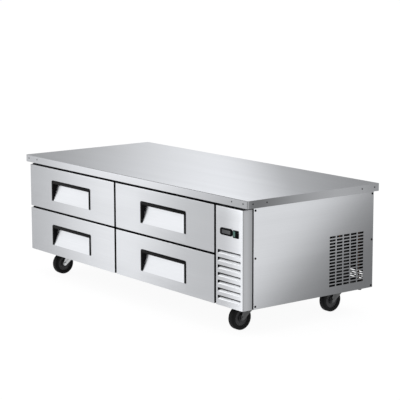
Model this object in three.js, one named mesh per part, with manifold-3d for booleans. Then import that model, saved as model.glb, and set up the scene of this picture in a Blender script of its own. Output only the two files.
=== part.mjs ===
// A low refrigerated chef base: a worktop for cooking appliances over four insulated drawers, with the
// condensing unit in a compartment at the right end, on four swivel casters. Millimetres, +Z up, +X to the
// right along the front, the front faces -Y, and the origin is on the floor under the middle of the worktop.
import * as THREE from "three";
import { mergeVertices } from "three/addons/utils/BufferGeometryUtils.js";
import Module from "manifold-3d";

const wasm = await Module();
wasm.setup();

// Driving dimensions
const worktopWidth = 1835;
const worktopDepth = 790;
const worktopThickness = 36;
const overallHeight = 622;
const groundClearance = 124;
const sideOverhang = 36;
const frontSetback = 3;
const rearSetback = 1.5;
const cabinetSkin = 1.5;
const baseSheet = 2;
const drawerFrontDepth = 50;
const gasketGap = 6;
const controlPanelWidth = 190.5;
const drawerEdgeInset = 2.5;
const columnGap = 16;
const controlGap = 12;
const rowGap = 10;
const drawerTopGap = 11;
const drawerBottomStep = 1;
const lowerDrawerExtra = 4;
const openingSideOverlap = 36;
const openingEndOverlap = 26;
const faceFrameDepth = 24;
const rearWall = 44;
const linerSheet = 1.5;

// Clearance left wherever two pieces meet, and how far a cutting tool runs past what it cuts
const seat = 0.3;
const overrun = 5;

// Planes that several pieces share, worked out from the driving dimensions
const worktopUnderside = overallHeight - worktopThickness;
const worktopFront = -worktopDepth / 2;
const cabinetLeft = -worktopWidth / 2 + sideOverhang;
const cabinetRight = -cabinetLeft;
const faceY = worktopFront + frontSetback;
const frontBackY = faceY + drawerFrontDepth;
const cabinetFrontY = frontBackY + gasketGap;
const cabinetRearY = -worktopFront - rearSetback;
const faceFrameBackY = cabinetFrontY + faceFrameDepth;
const baseTop = groundClearance + baseSheet;
const bodyTop = worktopUnderside - seat;
const controlPanelLeft = cabinetRight - controlPanelWidth;
const drawerWidth = (controlPanelLeft - controlGap - cabinetLeft - drawerEdgeInset - columnGap) / 2;
const openingWidth = drawerWidth - 2 * openingSideOverlap;
const lowerDrawerZ = groundClearance + drawerBottomStep;
const drawersTopZ = worktopUnderside - drawerTopGap;
const upperDrawerHeight = (drawersTopZ - lowerDrawerZ - rowGap - lowerDrawerExtra) / 2;
const lowerDrawerHeight = upperDrawerHeight + lowerDrawerExtra;
const upperDrawerZ = lowerDrawerZ + lowerDrawerHeight + rowGap;
const leftColumnX = cabinetLeft + drawerEdgeInset + drawerWidth / 2;
const rightColumnX = leftColumnX + drawerWidth + columnGap;
const drawers = [
  { name: "left_upper", x: leftColumnX, z: upperDrawerZ, height: upperDrawerHeight },
  { name: "left_lower", x: leftColumnX, z: lowerDrawerZ, height: lowerDrawerHeight },
  { name: "right_upper", x: rightColumnX, z: upperDrawerZ, height: upperDrawerHeight },
  { name: "right_lower", x: rightColumnX, z: lowerDrawerZ, height: lowerDrawerHeight },
];
const cavityLeft = leftColumnX - openingWidth / 2;
const cavityRight = rightColumnX + openingWidth / 2;
const cavityFloor = lowerDrawerZ + openingEndOverlap;
const cavityCeiling = drawersTopZ - openingEndOverlap;
const cavityRearY = cabinetRearY - rearWall;

// Materials, in the colours of the photograph
function finish(color, roughness, metalness) {
  return new THREE.MeshStandardMaterial({ color, roughness, metalness });
}
const brushedSteel = finish(0xc9cbcd, 0.35, 1);
const innerSteel = finish(0xb4b7ba, 0.45, 1);
const galvanised = finish(0x9da1a4, 0.5, 1);
const zincPlate = finish(0xb9bcc0, 0.3, 1);
const copperAndFins = finish(0xa9aba8, 0.45, 1);
const blackPlastic = finish(0x1e1f21, 0.45, 0);
const blackRubber = finish(0x232325, 0.8, 0);
const blackPaint = finish(0x17181a, 0.4, 0.2);
const greenLens = finish(0x2f8f62, 0.25, 0);
const foam = finish(0xd8cfa8, 0.9, 0);

// Closed geometry as a solid that can be joined and cut
function solidOf(geometry) {
  const bare = geometry.index ? geometry.toNonIndexed() : geometry;
  bare.deleteAttribute("normal");
  bare.deleteAttribute("uv");
  const merged = mergeVertices(bare);
  return new wasm.Manifold(
    new wasm.Mesh({
      numProp: 3,
      vertProperties: merged.attributes.position.array,
      triVerts: new Uint32Array(merged.index.array),
    }),
  );
}

// A box between two planes on each axis
function block([x0, x1], [y0, y1], [z0, z1]) {
  const geometry = new THREE.BoxGeometry(x1 - x0, y1 - y0, z1 - z0);
  return solidOf(geometry.translate((x0 + x1) / 2, (y0 + y1) / 2, (z0 + z1) / 2));
}

function shapeOf(outline) {
  return Array.isArray(outline) ? new THREE.Shape(outline.map(([a, b]) => new THREE.Vector2(a, b))) : outline;
}

// An outline of (y, z) carried along X, one of (x, z) along Y, and one of (x, y) along Z
const arcSteps = 4;
function extruded(outline, length) {
  return new THREE.ExtrudeGeometry(shapeOf(outline), {
    depth: length,
    bevelEnabled: false,
    curveSegments: arcSteps,
  });
}
const toX = new THREE.Matrix4().makeBasis(
  new THREE.Vector3(0, 1, 0), new THREE.Vector3(0, 0, 1), new THREE.Vector3(1, 0, 0));
const toY = new THREE.Matrix4().makeBasis(
  new THREE.Vector3(1, 0, 0), new THREE.Vector3(0, 0, 1), new THREE.Vector3(0, -1, 0));
function alongX(outline, [x0, x1]) {
  return solidOf(extruded(outline, x1 - x0).applyMatrix4(toX).translate(x0, 0, 0));
}
function alongY(outline, [y0, y1]) {
  return solidOf(extruded(outline, y1 - y0).applyMatrix4(toY).translate(0, y1, 0));
}
function alongZ(outline, [z0, z1]) {
  return solidOf(extruded(outline, z1 - z0).translate(0, 0, z0));
}

// Round bars along each axis
function rodX(radius, [x0, x1], y, z, sides) {
  const geometry = new THREE.CylinderGeometry(radius, radius, x1 - x0, sides);
  return solidOf(geometry.rotateZ(Math.PI / 2).translate((x0 + x1) / 2, y, z));
}
function rodY(radius, [y0, y1], x, z, sides) {
  const geometry = new THREE.CylinderGeometry(radius, radius, y1 - y0, sides);
  return solidOf(geometry.translate(x, (y0 + y1) / 2, z));
}
function rodZ(radius, [z0, z1], x, y, sides) {
  const geometry = new THREE.CylinderGeometry(radius, radius, z1 - z0, sides);
  return solidOf(geometry.rotateX(Math.PI / 2).translate(x, y, (z0 + z1) / 2));
}

// A profile of (radius, height) turned about Z
function turned(profile, sides) {
  const points = profile.map(([r, h]) => new THREE.Vector2(r, h));
  return solidOf(new THREE.LatheGeometry(points, sides).rotateX(Math.PI / 2));
}

// A rectangle about (cx, cz) with round corners
function roundedRectangle(cx, cz, width, height, radius) {
  const shape = new THREE.Shape();
  const [left, right, low, high] = [cx - width / 2, cx + width / 2, cz - height / 2, cz + height / 2];
  shape.moveTo(left + radius, low);
  shape.lineTo(right - radius, low);
  shape.absarc(right - radius, low + radius, radius, -Math.PI / 2, 0);
  shape.lineTo(right, high - radius);
  shape.absarc(right - radius, high - radius, radius, 0, Math.PI / 2);
  shape.lineTo(left + radius, high);
  shape.absarc(left + radius, high - radius, radius, Math.PI / 2, Math.PI);
  shape.lineTo(left, low + radius);
  shape.absarc(left + radius, low + radius, radius, Math.PI, 1.5 * Math.PI);
  return shape;
}

function joined(solids) {
  return solids.reduce((whole, next) => whole.add(next));
}
function cut(body, tools) {
  return tools.reduce((left, tool) => left.subtract(tool), body);
}

function geometryOf(solid) {
  const mesh = solid.getMesh();
  const geometry = new THREE.BufferGeometry();
  geometry.setAttribute("position", new THREE.BufferAttribute(new Float32Array(mesh.vertProperties), 3));
  geometry.setIndex(new THREE.BufferAttribute(new Uint32Array(mesh.triVerts), 1));
  geometry.computeVertexNormals();
  return geometry;
}

const chefBase = new THREE.Group();
chefBase.name = "chef_base";
function addPiece(parent, name, solid, material) {
  const mesh = new THREE.Mesh(geometryOf(solid), material);
  mesh.name = name;
  parent.add(mesh);
}

// Worktop: one sheet folded down on all sides and back under, so that its lip rests on the cabinet
const worktopSheet = 2;
const worktopLipSeat = 24;
const worktopX = [-worktopWidth / 2, worktopWidth / 2];
const worktopY = [worktopFront, -worktopFront];
const worktop = cut(block(worktopX, worktopY, [worktopUnderside, overallHeight]), [
  block(
    [worktopX[0] + worktopSheet, worktopX[1] - worktopSheet],
    [worktopY[0] + worktopSheet, worktopY[1] - worktopSheet],
    [worktopUnderside + worktopSheet, overallHeight - worktopSheet],
  ),
  block(
    [cabinetLeft + worktopLipSeat, cabinetRight - worktopLipSeat],
    [cabinetFrontY + worktopLipSeat, cabinetRearY - worktopLipSeat],
    [worktopUnderside - overrun, worktopUnderside + worktopSheet + overrun],
  ),
]);
addPiece(chefBase, "worktop", worktop, brushedSteel);

// Side panels: flat sheets, the right one with the machine compartment's grille of slots
const grille = { columns: 5, rows: 16, slotLength: 36, slotHeight: 9.6, pitchY: 43.8, pitchZ: 15.1 };
const grilleRearMargin = 62;
const grilleBottomMargin = 37.2;
const sidePanelSetback = 6;
const sideY = [cabinetFrontY, cabinetRearY];
const sidePanelY = [cabinetFrontY + sidePanelSetback, cabinetRearY];
const sideZ = [groundClearance, bodyTop];
const leftSkinX = [cabinetLeft, cabinetLeft + cabinetSkin];
const rightSkinX = [cabinetRight - cabinetSkin, cabinetRight];
const grilleSlots = [];
for (let column = 0; column < grille.columns; column++) {
  for (let row = 0; row < grille.rows; row++) {
    const slotEnd = cabinetRearY - grilleRearMargin - column * grille.pitchY;
    const slotLow = groundClearance + grilleBottomMargin + row * grille.pitchZ;
    grilleSlots.push(block(
      [rightSkinX[0] - overrun, rightSkinX[1] + overrun],
      [slotEnd - grille.slotLength, slotEnd],
      [slotLow, slotLow + grille.slotHeight],
    ));
  }
}
addPiece(chefBase, "left_side_panel", block(leftSkinX, sidePanelY, sideZ), brushedSteel);
addPiece(chefBase, "right_side_panel", cut(block(rightSkinX, sidePanelY, sideZ), grilleSlots), brushedSteel);

// Rear panel: a sheet between the side panels, with vent slots behind the machine compartment
const rearVent = { rows: 4, slotLength: 120, slotHeight: 4.4, pitchZ: 10.5, bottomMargin: 25.4 };
const machineLeft = controlPanelLeft + baseSheet;
const machineRight = rightSkinX[0] - seat;
const machineX = (machineLeft + machineRight) / 2;
const betweenSkinsX = [leftSkinX[1] + seat, rightSkinX[0] - seat];
const rearPanelY = [cabinetRearY - cabinetSkin, cabinetRearY];
const rearSlots = [];
for (let row = 0; row < rearVent.rows; row++) {
  const slotLow = baseTop + rearVent.bottomMargin + row * rearVent.pitchZ;
  rearSlots.push(block(
    [machineX - rearVent.slotLength / 2, machineX + rearVent.slotLength / 2],
    [rearPanelY[0] - overrun, rearPanelY[1] + overrun],
    [slotLow, slotLow + rearVent.slotHeight],
  ));
}
const rearPanel = cut(block(betweenSkinsX, rearPanelY, [baseTop + seat, bodyTop]), rearSlots);
addPiece(chefBase, "rear_panel", rearPanel, galvanised);

// Cord gland: a threaded body and nut through the base pan at the rear of the machine compartment
const gland = {
  bore: 5, neck: 9, flange: 14, flangeHeight: 4, drop: 14, nutHeight: 5,
  sides: 16, hexSides: 6, sideInset: 38,
};
const glandX = machineRight - gland.sideInset;
const glandY = cabinetRearY - rearWall;
const glandTop = baseTop + seat + gland.nutHeight;
const glandBody = cut(
  joined([
    rodZ(gland.neck, [groundClearance - gland.drop, glandTop], glandX, glandY, gland.sides),
    rodZ(gland.flange, [groundClearance - seat - gland.flangeHeight, groundClearance - seat],
      glandX, glandY, gland.hexSides),
    rodZ(gland.flange, [baseTop + seat, glandTop], glandX, glandY, gland.hexSides),
  ]),
  [rodZ(gland.bore, [groundClearance - gland.drop - overrun, glandTop + overrun],
    glandX, glandY, gland.sides)],
);
addPiece(chefBase, "cord_gland", glandBody, blackPlastic);

// Base pan: the floor sheet that the casters bolt to, turned up as the partition to the machine compartment
const basePan = cut(
  joined([
    block(betweenSkinsX, sideY, [groundClearance, baseTop]),
    block(
      [controlPanelLeft, machineLeft],
      [faceFrameBackY + seat, rearPanelY[0] - seat],
      [groundClearance, bodyTop],
    ),
  ]),
  [
    block(
      [betweenSkinsX[0] - overrun, betweenSkinsX[1] + overrun],
      [rearPanelY[0] - seat, cabinetRearY + overrun],
      [baseTop, bodyTop + overrun],
    ),
    rodZ(gland.neck + seat, [groundClearance - overrun, baseTop + overrun], glandX, glandY, gland.sides),
  ],
);
addPiece(chefBase, "base_pan", basePan, galvanised);

// Face frame: folded sheet that the drawer gaskets close on, with a set-back machine compartment surround
const frameSheet = 2;
const machineStile = 16;
const machineSetback = 16;
const faceFrameX = [betweenSkinsX[0], controlPanelLeft + machineStile];
const faceFrameZ = [baseTop + seat, bodyTop];
const drawerOpenings = (grow) => drawers.map((drawer) => block(
  [drawer.x - openingWidth / 2 - grow, drawer.x + openingWidth / 2 + grow],
  [cabinetFrontY - overrun, faceFrameBackY + overrun],
  [drawer.z + openingEndOverlap - grow, drawer.z + drawer.height - openingEndOverlap + grow],
));
const frameHollow = cut(
  block(
    [faceFrameX[0] + frameSheet, faceFrameX[1] - frameSheet],
    [cabinetFrontY + frameSheet, faceFrameBackY + overrun],
    [faceFrameZ[0] + frameSheet, faceFrameZ[1] - frameSheet],
  ),
  drawerOpenings(frameSheet),
);
const machineSurround = cut(
  block([faceFrameX[1], betweenSkinsX[1]], [cabinetFrontY + machineSetback, faceFrameBackY], faceFrameZ),
  [block(
    [faceFrameX[1] - overrun, betweenSkinsX[1] - machineStile],
    [cabinetFrontY, faceFrameBackY + overrun],
    [cavityFloor, cavityCeiling],
  )],
);
const faceFrame = cut(
  block(faceFrameX, [cabinetFrontY, faceFrameBackY], faceFrameZ),
  [...drawerOpenings(0), frameHollow],
).add(machineSurround);
addPiece(chefBase, "face_frame", faceFrame, innerSteel);

// Cabinet liner: the cold store's inner box, open to the front
const linerX = [cavityLeft - linerSheet, cavityRight + linerSheet];
const linerY = [faceFrameBackY + seat, cavityRearY + linerSheet];
const linerZ = [cavityFloor - linerSheet, cavityCeiling + linerSheet];
const liner = cut(block(linerX, linerY, linerZ), [
  block([cavityLeft, cavityRight], [linerY[0] - overrun, cavityRearY], [cavityFloor, cavityCeiling]),
]);
addPiece(chefBase, "cabinet_liner", liner, innerSteel);

// Insulation: foam that fills the space between the liner and the outer sheets
const insulation = cut(
  block(
    [leftSkinX[1] + seat, controlPanelLeft - seat],
    [faceFrameBackY + seat, rearPanelY[0] - seat],
    [baseTop + seat, bodyTop],
  ),
  [block(
    [linerX[0] - seat, linerX[1] + seat],
    [linerY[0] - overrun, linerY[1] + seat],
    [linerZ[0] - seat, linerZ[1] + seat],
  )],
);
addPiece(chefBase, "insulation", insulation, foam);

// Control panel: a sheet folded back on all four sides, with pressed louvres and cut-outs for the controls
const panelSheet = 1.5;
const panelCorner = 5;
const panelReturnReach = 4.5;
const louvre = {
  width: 161, height: 18, pitchAim: 34.8, leftMargin: 15, bottomMargin: 23.2, underControls: 74,
  depth: 8.5, slit: 4.8,
};
const controller = {
  width: 84, height: 32, corner: 10, leftMargin: 34.5, fromTop: 110,
  bodyWidth: 70, bodyHeight: 25, bodyDepth: 45, windowWidth: 60, windowHeight: 17, windowDepth: 1,
};
const powerSwitch = {
  width: 39, height: 34, corner: 5, leftMargin: 123, fromTop: 112, proud: 2,
  bodyWidth: 36, bodyHeight: 29, bodyDepth: 28, pocketWidth: 33, pocketHeight: 26, pocketDepth: 14,
};
const panelZ = [lowerDrawerZ, drawersTopZ];
const panelX = [controlPanelLeft, cabinetRight];
const controllerX = panelX[0] + controller.leftMargin + controller.width / 2;
const controllerZ = panelZ[1] - controller.fromTop;
const switchX = panelX[0] + powerSwitch.leftMargin + powerSwitch.width / 2;
const switchZ = panelZ[1] - powerSwitch.fromTop;

// The tray's plan: square at the back, with the two bends rounded at the front
function trayPlan([x0, x1], front, back, radius) {
  const plan = new THREE.Shape();
  plan.moveTo(x0, back);
  plan.lineTo(x0, front + radius);
  plan.absarc(x0 + radius, front + radius, radius, Math.PI, 1.5 * Math.PI);
  plan.lineTo(x1 - radius, front);
  plan.absarc(x1 - radius, front + radius, radius, -Math.PI / 2, 0);
  plan.lineTo(x1, back);
  return plan;
}
const trayInner = alongZ(
  trayPlan([panelX[0] + panelSheet, panelX[1] - panelSheet], faceY + panelSheet, frontBackY + overrun,
    panelCorner - panelSheet),
  [panelZ[0] + panelSheet, panelZ[1] - panelSheet],
);
const louvreX = [panelX[0] + louvre.leftMargin, panelX[0] + louvre.leftMargin + louvre.width];
const louvreTop = controllerZ - controller.height / 2 - louvre.underControls;
const louvreRise = louvreTop - louvre.height - panelZ[0] - louvre.bottomMargin;
const louvreSteps = Math.round(louvreRise / louvre.pitchAim);
const louvreCuts = [];
const louvreBlades = [];
for (let index = 0; index <= louvreSteps; index++) {
  const top = louvreTop - (index * louvreRise) / louvreSteps;
  const low = top - louvre.height;
  louvreCuts.push(block(louvreX, [faceY - overrun, faceY + panelSheet + overrun], [low, top]));
  louvreBlades.push(alongX(
    [
      [faceY, low - panelSheet],
      [faceY + panelSheet, low - panelSheet],
      [faceY + louvre.depth + panelSheet, top - louvre.slit],
      [faceY + louvre.depth, top - louvre.slit],
      [faceY, low],
    ],
    louvreX,
  ));
}
const panelTray = cut(alongZ(trayPlan(panelX, faceY, frontBackY, panelCorner), panelZ), [
  trayInner,
  ...louvreCuts,
  block(
    [controllerX - controller.bodyWidth / 2 - seat, controllerX + controller.bodyWidth / 2 + seat],
    [faceY - overrun, faceY + panelSheet + overrun],
    [controllerZ - controller.bodyHeight / 2 - seat, controllerZ + controller.bodyHeight / 2 + seat],
  ),
  block(
    [switchX - powerSwitch.bodyWidth / 2 - seat, switchX + powerSwitch.bodyWidth / 2 + seat],
    [faceY - overrun, faceY + panelSheet + overrun],
    [switchZ - powerSwitch.bodyHeight / 2 - seat, switchZ + powerSwitch.bodyHeight / 2 + seat],
  ),
]);
const panelFootY = [frontBackY - overrun, cabinetFrontY - seat];
const panelFoot = block([panelX[0], panelX[0] + panelSheet], panelFootY, panelZ);
const panelReturnY = [frontBackY - overrun, frontBackY + panelReturnReach];
const panelReturn = block([panelX[1] - panelSheet, panelX[1]], panelReturnY, panelZ);
addPiece(
  chefBase,
  "control_panel",
  joined([panelTray, panelFoot, panelReturn, ...louvreBlades]),
  brushedSteel,
);

// Controller: a snap-in housing with its display window sunk in the bezel
const controllerFront = faceY - frontSetback;
const controllerSolid = cut(
  joined([
    alongY(roundedRectangle(controllerX, controllerZ, controller.width, controller.height, controller.corner),
      [controllerFront, faceY - seat]),
    block(
      [controllerX - controller.bodyWidth / 2, controllerX + controller.bodyWidth / 2],
      [faceY - frontSetback / 2, faceY + controller.bodyDepth],
      [controllerZ - controller.bodyHeight / 2, controllerZ + controller.bodyHeight / 2],
    ),
  ]),
  [block(
    [controllerX - controller.windowWidth / 2, controllerX + controller.windowWidth / 2],
    [controllerFront - overrun, controllerFront + controller.windowDepth],
    [controllerZ - controller.windowHeight / 2, controllerZ + controller.windowHeight / 2],
  )],
);
addPiece(chefBase, "controller", controllerSolid, blackPlastic);

// Power switch: a snap-in housing and the rocker that tips in its pocket about an upright pin
const rocker = {
  width: 30, height: 25, rise: 2.5, proud: 0.5, depth: 8, backWidth: 20, pinRadius: 1.5, pinSides: 8,
};
const rockerPivotY = faceY + rocker.depth / 2;
const switchHousing = cut(
  joined([
    alongY(roundedRectangle(switchX, switchZ, powerSwitch.width, powerSwitch.height, powerSwitch.corner),
      [faceY - powerSwitch.proud, faceY - seat]),
    block(
      [switchX - powerSwitch.bodyWidth / 2, switchX + powerSwitch.bodyWidth / 2],
      [faceY - powerSwitch.proud / 2, faceY + powerSwitch.bodyDepth],
      [switchZ - powerSwitch.bodyHeight / 2, switchZ + powerSwitch.bodyHeight / 2],
    ),
  ]),
  [
    block(
      [switchX - powerSwitch.pocketWidth / 2, switchX + powerSwitch.pocketWidth / 2],
      [faceY - powerSwitch.proud - overrun, faceY + powerSwitch.pocketDepth],
      [switchZ - powerSwitch.pocketHeight / 2, switchZ + powerSwitch.pocketHeight / 2],
    ),
    rodZ(rocker.pinRadius + seat,
      [switchZ - powerSwitch.pocketHeight / 2 - seat * 3, switchZ + powerSwitch.pocketHeight / 2 + seat * 3],
      switchX, rockerPivotY, rocker.pinSides),
  ],
);
addPiece(chefBase, "switch_housing", switchHousing, blackPlastic);
const rockerSolid = joined([
  alongZ(
    [
      [switchX - rocker.width / 2, faceY - rocker.proud - rocker.rise],
      [switchX, faceY - rocker.proud],
      [switchX + rocker.width / 2, faceY - rocker.proud],
      [switchX + rocker.width / 2, faceY + rocker.depth / 2],
      [switchX + rocker.backWidth / 2, faceY + rocker.depth],
      [switchX - rocker.backWidth / 2, faceY + rocker.depth],
      [switchX - rocker.width / 2, faceY + rocker.depth / 2],
    ],
    [switchZ - rocker.height / 2, switchZ + rocker.height / 2],
  ),
  rodZ(rocker.pinRadius,
    [switchZ - powerSwitch.pocketHeight / 2 - seat * 2, switchZ + powerSwitch.pocketHeight / 2 + seat * 2],
    switchX, rockerPivotY, rocker.pinSides),
]);
addPiece(chefBase, "switch_rocker", rockerSolid, greenLens);

// Compressor: a welded steel pot on a footed plate, with its terminal box and stub pipes
const compressor = {
  radius: 70, height: 190, shoulder: 30, seamRadius: 74, seamHeight: 8, sides: 24,
  plateWidth: 150, plateDepth: 170, plateSheet: 3,
  footRadius: 11, footHeight: 12, footInset: 16, footSides: 10,
  boxWidth: 60, boxDepth: 40, boxHeight: 70, stubRadius: 5, stubHeight: 40, stubReach: 30, stubSides: 8,
};
const compressorY = cabinetRearY - rearWall - compressor.plateDepth / 2 - compressor.footRadius * 2;
const plateLow = baseTop + seat + compressor.footHeight;
const potLow = plateLow + compressor.plateSheet;
const potSeam = potLow + compressor.height / 2;
const potTop = potLow + compressor.height;
const pot = turned(
  [
    [0, potLow - compressor.plateSheet / 2],
    [compressor.radius - compressor.shoulder, potLow - compressor.plateSheet / 2],
    [compressor.radius, potLow + compressor.shoulder],
    [compressor.radius, potSeam - compressor.seamHeight / 2],
    [compressor.seamRadius, potSeam],
    [compressor.radius, potSeam + compressor.seamHeight / 2],
    [compressor.radius, potTop - compressor.shoulder],
    [compressor.radius - compressor.shoulder / 2, potTop - compressor.shoulder / 3],
    [0, potTop],
  ],
  compressor.sides,
).translate([machineX, compressorY, 0]);
const compressorFeet = [-1, 1].flatMap((sx) => [-1, 1].map((sy) => rodZ(
  compressor.footRadius,
  [baseTop + seat, plateLow + compressor.plateSheet / 2],
  machineX + sx * (compressor.plateWidth / 2 - compressor.footInset),
  compressorY + sy * (compressor.plateDepth / 2 - compressor.footInset),
  compressor.footSides,
)));
const compressorSolid = joined([
  pot,
  block(
    [machineX - compressor.plateWidth / 2, machineX + compressor.plateWidth / 2],
    [compressorY - compressor.plateDepth / 2, compressorY + compressor.plateDepth / 2],
    [plateLow, potLow],
  ),
  ...compressorFeet,
  block(
    [machineX - compressor.boxWidth / 2, machineX + compressor.boxWidth / 2],
    [compressorY - compressor.radius - compressor.boxDepth / 2, compressorY],
    [potSeam - compressor.boxHeight, potSeam - compressor.seamHeight],
  ),
  rodZ(compressor.stubRadius, [potSeam, potTop + compressor.stubHeight], machineX - compressor.stubReach,
    compressorY, compressor.stubSides),
  rodZ(compressor.stubRadius, [potSeam, potTop + compressor.stubHeight], machineX + compressor.stubReach,
    compressorY, compressor.stubSides),
]);
addPiece(chefBase, "compressor", compressorSolid, blackPaint);

// A fan: a bored hub with pitched blades, turning about an axis along Y
function fanBlades(fan, x, y, z) {
  const hub = rodY(fan.hubRadius, [-fan.hubDepth / 2, fan.hubDepth / 2], 0, 0, fan.sides);
  const bladeLength = fan.tipRadius - fan.hubRadius / 2;
  const blades = [];
  for (let index = 0; index < fan.blades; index++) {
    const blade = new THREE.BoxGeometry(fan.bladeWidth, fan.bladeSheet, bladeLength);
    blade.rotateZ(fan.pitch).translate(0, 0, fan.hubRadius / 2 + bladeLength / 2);
    blades.push(solidOf(blade.rotateY((index * 2 * Math.PI) / fan.blades)));
  }
  const bore = rodY(fan.shaftRadius + seat, [-fan.hubDepth, fan.hubDepth], 0, 0, fan.sides);
  return joined([hub, ...blades]).subtract(bore).translate([x, y, z]);
}

// A motor on three arms behind the ring that a fan turns in, with its shaft through the fan's hub
function fanMotor(fan, x, y, z, plateY, armReach) {
  const motorFront = y + fan.hubDepth / 2 + fan.motorGap;
  const motorBack = motorFront + fan.motorDepth;
  const arms = [0, 1, 2].map((index) => {
    const arm = new THREE.BoxGeometry(fan.armWidth, fan.armSheet, armReach);
    arm.translate(0, 0, armReach / 2).rotateY((index * 2 * Math.PI) / 3 + Math.PI);
    return solidOf(arm.translate(x, motorBack - fan.armSheet / 2, z));
  });
  const posts = [0, 1, 2].map((index) => {
    const angle = (index * 2 * Math.PI) / 3 + Math.PI;
    const radius = armReach - fan.armWidth / 2;
    return rodY(fan.armWidth / 2, [plateY, motorBack - fan.armSheet / 2],
      x + radius * Math.sin(angle), z + radius * Math.cos(angle), fan.postSides);
  });
  return joined([
    rodY(fan.motorRadius, [motorFront, motorBack], x, z, fan.sides),
    rodY(fan.shaftRadius, [y - fan.hubDepth / 2, motorFront + fan.motorGap], x, z, fan.postSides),
    ...arms,
    ...posts,
  ]);
}

// Condenser: a finned coil behind the louvres, its shroud with the fan's ring and motor, and the fan
const condenser = { width: 168, height: 240, depth: 44, endPlate: 3, endReach: 5, behindFrame: 12 };
const condenserFan = {
  tipRadius: 72, hubRadius: 18, hubDepth: 20, blades: 5, bladeWidth: 44, bladeSheet: 2.5, pitch: 0.5,
  shaftRadius: 4, motorRadius: 34, motorDepth: 48, motorGap: 4, armWidth: 12, armSheet: 3,
  sides: 20, postSides: 8,
};
const shroud = { sheet: 1.5, ringGap: 4, ringDepth: 26, ringWall: 2, plateGap: 6 };
const condenserFront = faceFrameBackY + condenser.behindFrame;
const condenserY = [condenserFront, condenserFront + condenser.depth];
const condenserZ = [baseTop + seat, baseTop + seat + condenser.height];
const condenserX = [machineX - condenser.width / 2, machineX + condenser.width / 2];
const coilCore = block(
  [condenserX[0] + condenser.endPlate / 2, condenserX[1] - condenser.endPlate / 2],
  condenserY,
  [condenserZ[0] + condenser.endReach, condenserZ[1] - condenser.endReach],
);
const coilEnds = [condenserX[0], condenserX[1] - condenser.endPlate].map((x) => block(
  [x, x + condenser.endPlate],
  [condenserY[0] - condenser.endReach, condenserY[1]],
  condenserZ,
));
addPiece(chefBase, "condenser_coil", joined([coilCore, ...coilEnds]), copperAndFins);
const shroudPlateY = [condenserY[1] + seat, condenserY[1] + seat + shroud.sheet];
const condenserFanY = shroudPlateY[1] + shroud.plateGap + condenserFan.hubDepth / 2;
const condenserFanZ = (condenserZ[0] + condenserZ[1]) / 2;
const ringRadius = condenserFan.tipRadius + shroud.ringGap;
const shroudSolid = joined([
  cut(
    joined([
      block(condenserX, shroudPlateY, condenserZ),
      rodY(ringRadius + shroud.ringWall, [shroudPlateY[0], shroudPlateY[0] + shroud.ringDepth],
        machineX, condenserFanZ, condenserFan.sides),
    ]),
    [rodY(ringRadius, [shroudPlateY[0] - overrun, shroudPlateY[0] + shroud.ringDepth + overrun],
      machineX, condenserFanZ, condenserFan.sides)],
  ),
  fanMotor(condenserFan, machineX, condenserFanY, condenserFanZ, shroudPlateY[0],
    ringRadius + condenserFan.armWidth),
]);
addPiece(chefBase, "condenser_fan_shroud", shroudSolid, blackPaint);
addPiece(chefBase, "condenser_fan",
  fanBlades(condenserFan, machineX, condenserFanY, condenserFanZ), blackPlastic);

// Evaporator: a finned coil on the cold store's rear wall in a housing with its fan and motor
const evaporator = {
  width: 400, height: 130, coilDepth: 34, coilMargin: 4, topGap: 6, depth: 86, sheet: 1.5,
};
const evaporatorFan = {
  tipRadius: 50, hubRadius: 13, hubDepth: 14, blades: 5, bladeWidth: 26, bladeSheet: 2, pitch: 0.5,
  shaftRadius: 3, motorRadius: 20, motorDepth: 12, motorGap: 3, armWidth: 8, armSheet: 2.5,
  sides: 18, postSides: 8,
};
const evaporatorX = [rightColumnX - evaporator.width / 2, rightColumnX + evaporator.width / 2];
const evaporatorTop = cavityCeiling - evaporator.topGap;
const evaporatorZ = [evaporatorTop - evaporator.height, evaporatorTop];
const evaporatorY = [cavityRearY - evaporator.depth, cavityRearY - seat];
const evaporatorCoilY = [cavityRearY - seat - evaporator.coilDepth, cavityRearY - seat];
const evaporatorFanY =
  evaporatorY[0] + evaporator.sheet + evaporatorFan.motorGap + evaporatorFan.hubDepth / 2;
const evaporatorFanZ = (evaporatorZ[0] + evaporatorZ[1]) / 2;
const coilSide = evaporator.sheet + seat;
addPiece(chefBase, "evaporator_coil", block(
  [evaporatorX[0] + coilSide, evaporatorX[1] - coilSide],
  evaporatorCoilY,
  [evaporatorZ[0] + evaporator.coilMargin, evaporatorZ[1] - evaporator.coilMargin],
), copperAndFins);
const housingSolid = joined([
  cut(block(evaporatorX, evaporatorY, evaporatorZ), [
    block(
      [evaporatorX[0] + evaporator.sheet, evaporatorX[1] - evaporator.sheet],
      [evaporatorY[0] + evaporator.sheet, evaporatorY[1] + overrun],
      [evaporatorZ[0] - overrun, evaporatorZ[1] + overrun],
    ),
    rodY(evaporatorFan.tipRadius + shroud.ringGap, [evaporatorY[0] - overrun, evaporatorY[0] + overrun],
      rightColumnX, evaporatorFanZ, evaporatorFan.sides),
  ]),
  fanMotor(evaporatorFan, rightColumnX, evaporatorFanY, evaporatorFanZ, evaporatorY[0],
    evaporatorFan.tipRadius + shroud.ringGap + evaporatorFan.armWidth),
]);
addPiece(chefBase, "evaporator_housing", housingSolid, innerSteel);
addPiece(chefBase, "evaporator_fan",
  fanBlades(evaporatorFan, rightColumnX, evaporatorFanY, evaporatorFanZ), blackPlastic);

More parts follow.
